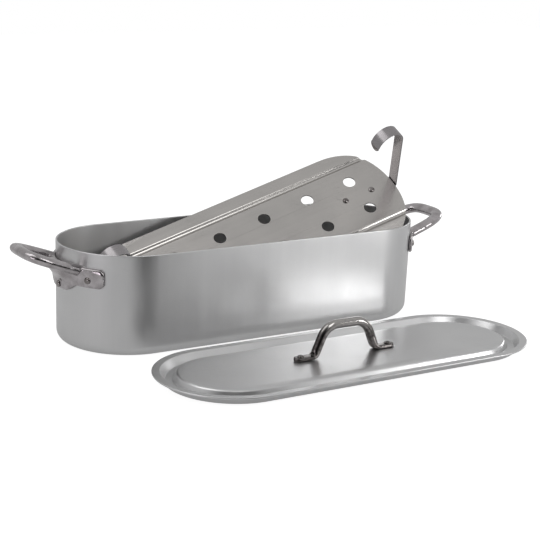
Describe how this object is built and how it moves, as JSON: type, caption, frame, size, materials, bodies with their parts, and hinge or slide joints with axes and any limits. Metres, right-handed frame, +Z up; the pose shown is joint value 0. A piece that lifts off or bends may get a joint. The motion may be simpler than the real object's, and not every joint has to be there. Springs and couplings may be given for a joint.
{
  "type": "fish poacher",
  "caption": "Long oval fish kettle with cast loop handles, a perforated lifting rack with hooks leaning inside it, and a flat lid with a bow handle lying in front.",
  "frame": {"origin": "centre of the pan's base, on the table", "axes": "+X along the pan's length to its right end, +Y away from the lid, +Z up"},
  "size_m": [0.7414, 0.4589, 0.3088],
  "materials": {
    "spun_aluminium": "satin",
    "rack_aluminium": "smooth satin",
    "cast_aluminium": "polished casting",
    "dark_steel": "polished"
  },
  "bodies": {
    "pan": {"pan_body": "spun_aluminium", "left_handle": "cast_aluminium", "right_handle": "cast_aluminium", "left_handle_rivet_near": "cast_aluminium", "left_handle_rivet_middle": "cast_aluminium", "left_handle_rivet_far": "cast_aluminium", "right_handle_rivet_near": "cast_aluminium", "right_handle_rivet_middle": "cast_aluminium", "right_handle_rivet_far": "cast_aluminium"},
    "rack": {"rack_plate": "rack_aluminium", "left_hook": "rack_aluminium", "right_hook": "rack_aluminium", "left_hook_rivet_outer": "rack_aluminium", "left_hook_rivet_inner": "rack_aluminium", "right_hook_rivet_outer": "rack_aluminium", "right_hook_rivet_inner": "rack_aluminium"},
    "lid": {"lid_shell": "spun_aluminium", "lid_handle": "dark_steel", "lid_rivet_left": "dark_steel", "lid_rivet_right": "dark_steel"}
  },
  "joints": [
    {"name": "rack_lift", "type": "slide", "parent": "pan", "child": "rack", "axis": [0, 0, 1], "range_m": [0, 0.2]},
    {"name": "lid_lift", "type": "slide", "parent": "pan", "child": "lid", "axis": [0, 0, 1], "range_m": [0, 0.35]}
  ]
}
